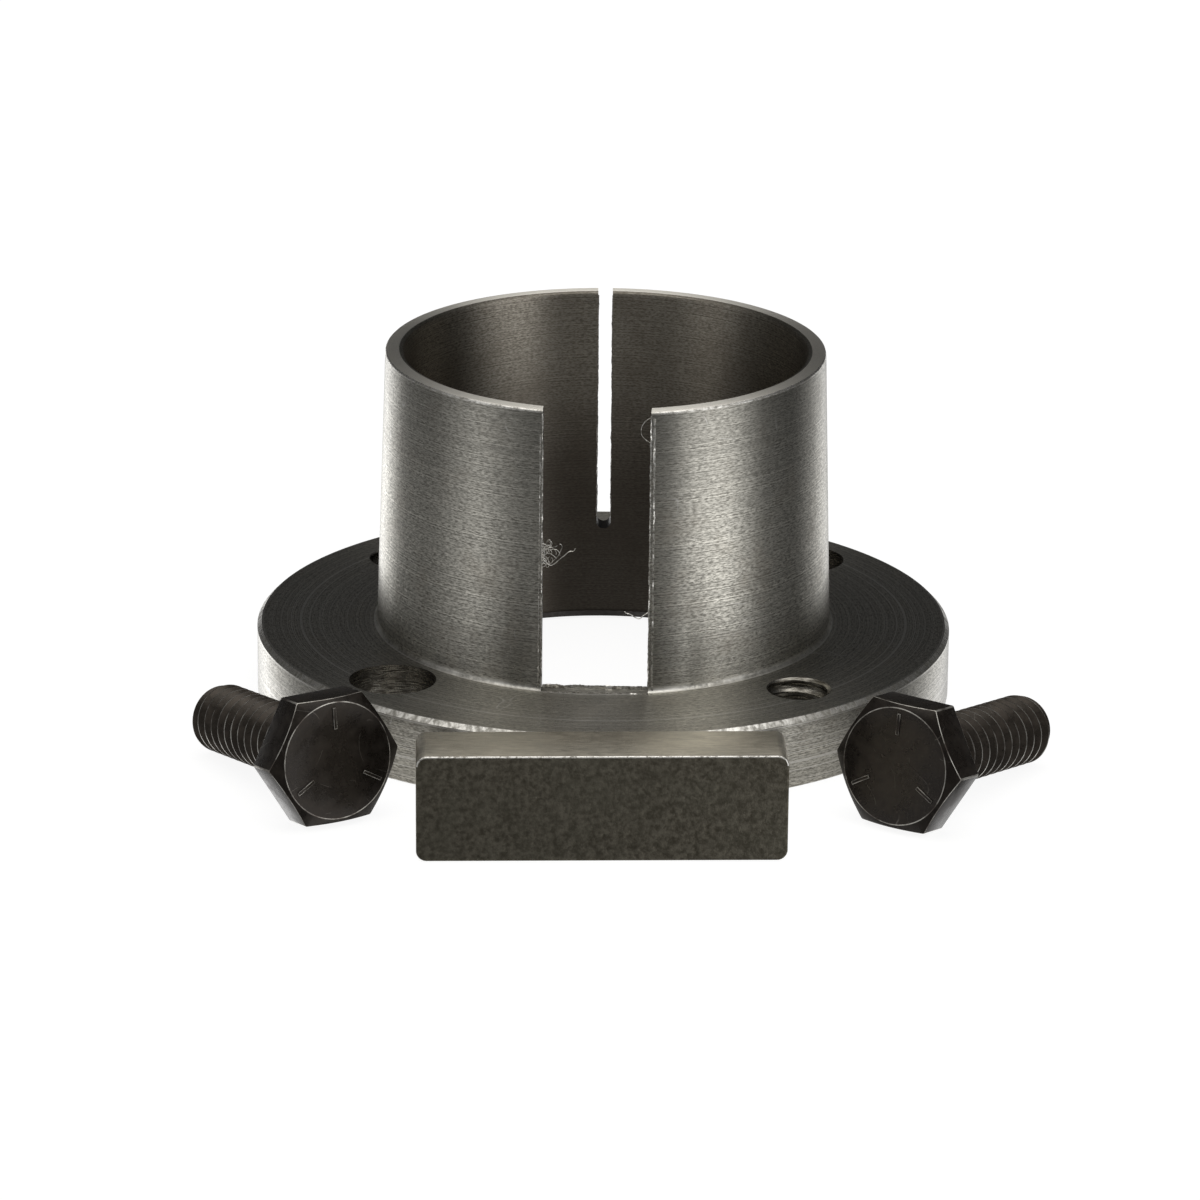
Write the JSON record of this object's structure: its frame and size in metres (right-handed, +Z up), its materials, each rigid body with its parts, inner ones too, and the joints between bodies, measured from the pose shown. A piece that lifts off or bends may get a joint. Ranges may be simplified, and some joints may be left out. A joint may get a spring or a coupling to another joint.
{
  "type": "split taper bushing kit",
  "caption": "Flanged split taper bushing with a keyway, laid out beside its rectangular key and its hexagon cap screws; it clamps a wheel or coupling hub onto a shaft.",
  "frame": {"origin": "on the bore axis, in the flange face that rests on the bench", "axes": "+Z up the bore axis from the flange to the small end of the barrel, -Y towards the keyway and the loose key"},
  "size_m": [0.0764, 0.0779, 0.0322],
  "materials": {
    "bushing_steel": "turned, lightly oiled",
    "key_steel": "cold drawn, dull",
    "black_oxide_steel": "black oxide, oiled"
  },
  "bodies": {
    "bushing": {"split_taper_bushing": "bushing_steel"},
    "key": {"key": "key_steel"},
    "cap_screw_left": {"cap_screw_left": "black_oxide_steel"},
    "cap_screw_right": {"cap_screw_right": "black_oxide_steel"}
  },
  "joints": [
    {"name": "key_lift", "type": "slide", "parent": "bushing", "child": "key", "axis": [0, 0, 1], "range_m": [0, 0.045]},
    {"name": "cap_screw_left_lift", "type": "slide", "parent": "bushing", "child": "cap_screw_left", "axis": [0, 0, 1], "range_m": [0, 0.045]},
    {"name": "cap_screw_right_lift", "type": "slide", "parent": "bushing", "child": "cap_screw_right", "axis": [0, 0, 1], "range_m": [0, 0.045]}
  ]
}
